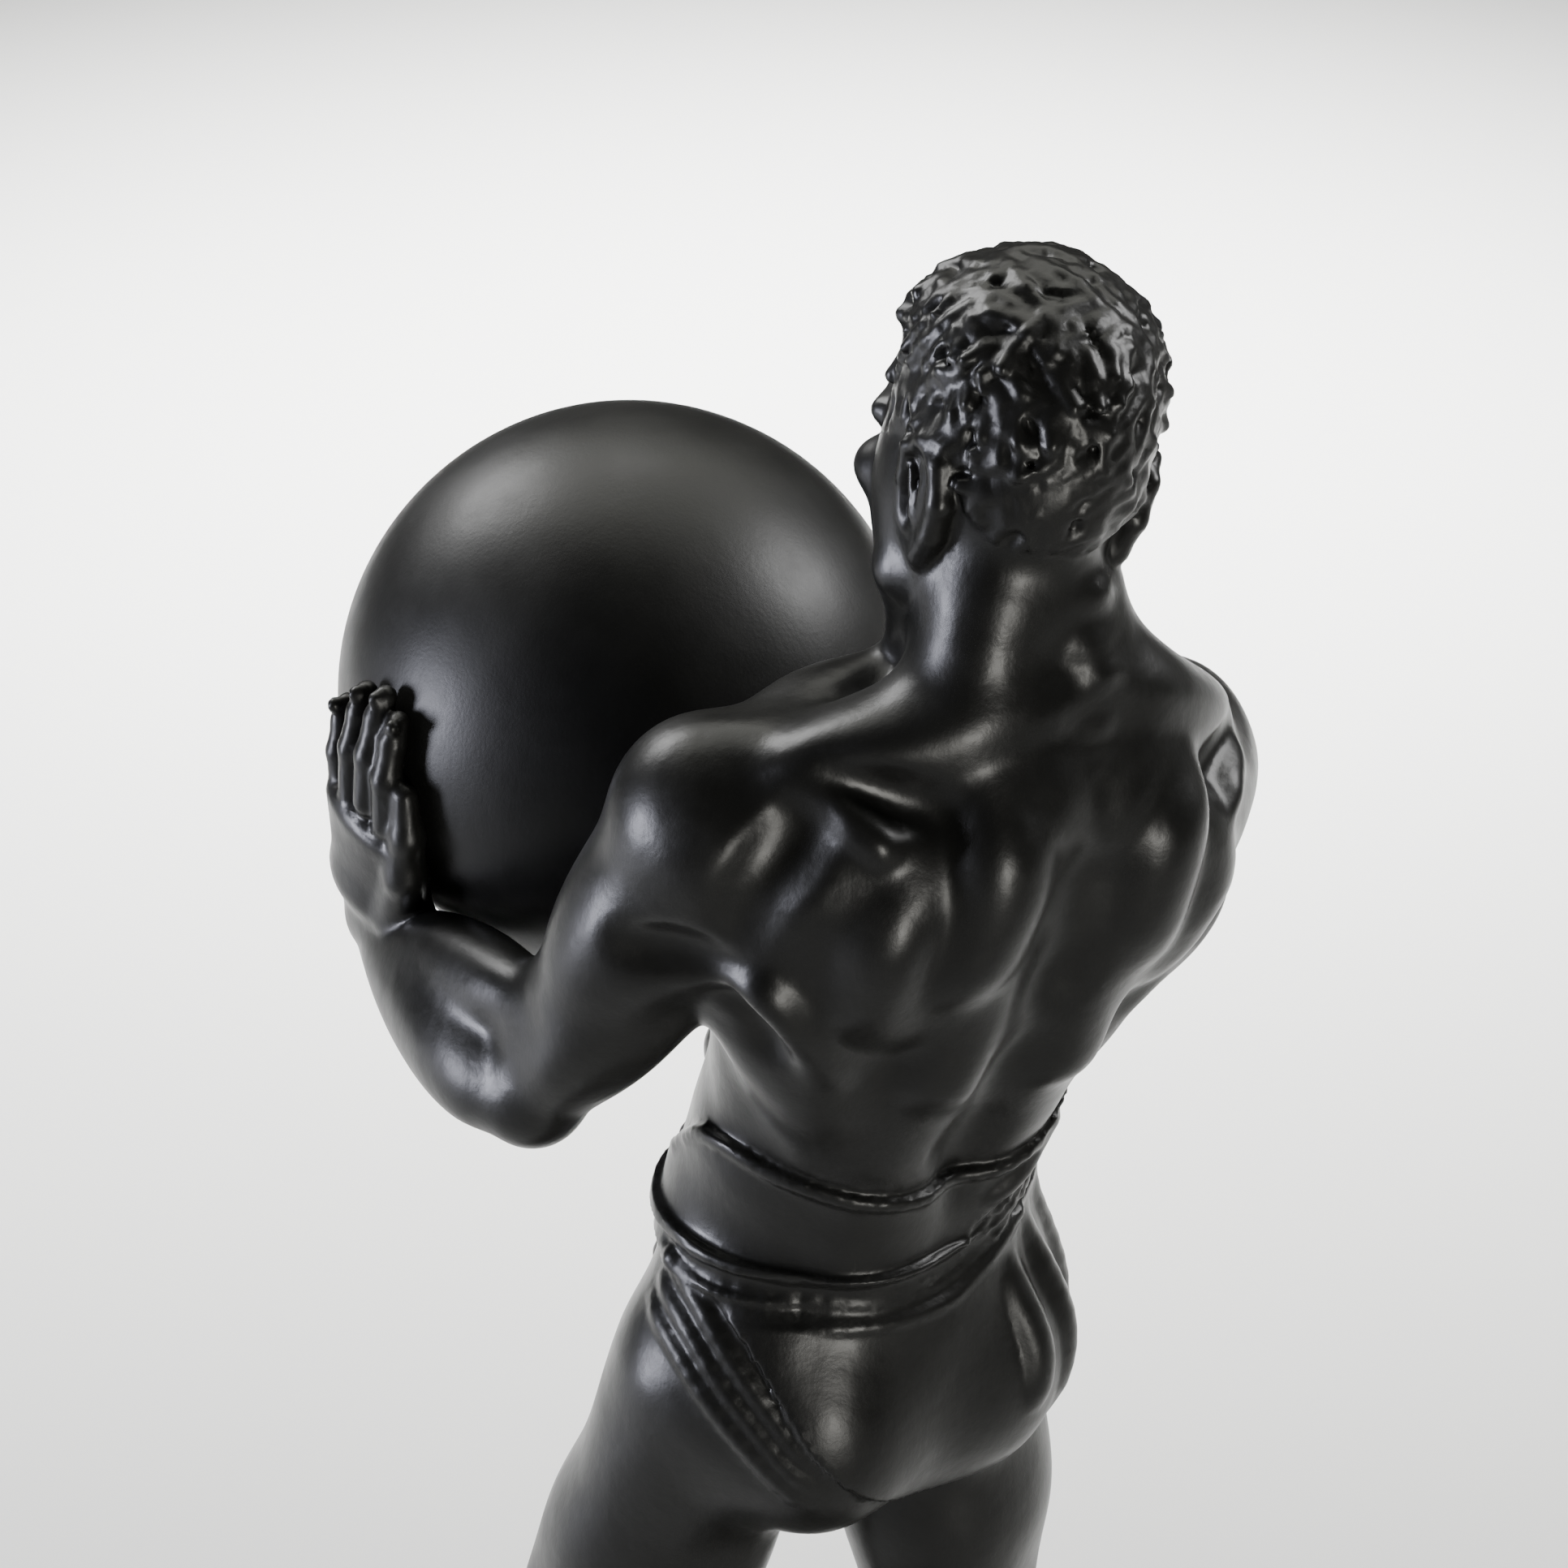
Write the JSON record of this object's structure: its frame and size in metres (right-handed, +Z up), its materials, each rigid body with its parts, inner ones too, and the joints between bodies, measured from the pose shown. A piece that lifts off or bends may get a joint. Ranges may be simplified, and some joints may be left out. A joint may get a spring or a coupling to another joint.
{
  "type": "atlas statue",
  "caption": "Standing statue of a bare-backed man in a wrapped loincloth who hugs a large globe to his chest, on a low rectangular plinth.",
  "frame": {"origin": "middle of the plinth's underside", "axes": "+Z up, the plinth's front faces -Y, and the man's left side is at +X"},
  "size_m": [0.1462, 0.1923, 0.4595],
  "materials": {
    "figure_resin": "satin black cast resin, hand rubbed",
    "globe_resin": "satin black cast resin, hand rubbed",
    "plinth_resin": "satin black cast resin"
  },
  "bodies": {
    "root": {"figure": "figure_resin", "globe": "globe_resin", "plinth": "plinth_resin"}
  },
  "joints": []
}
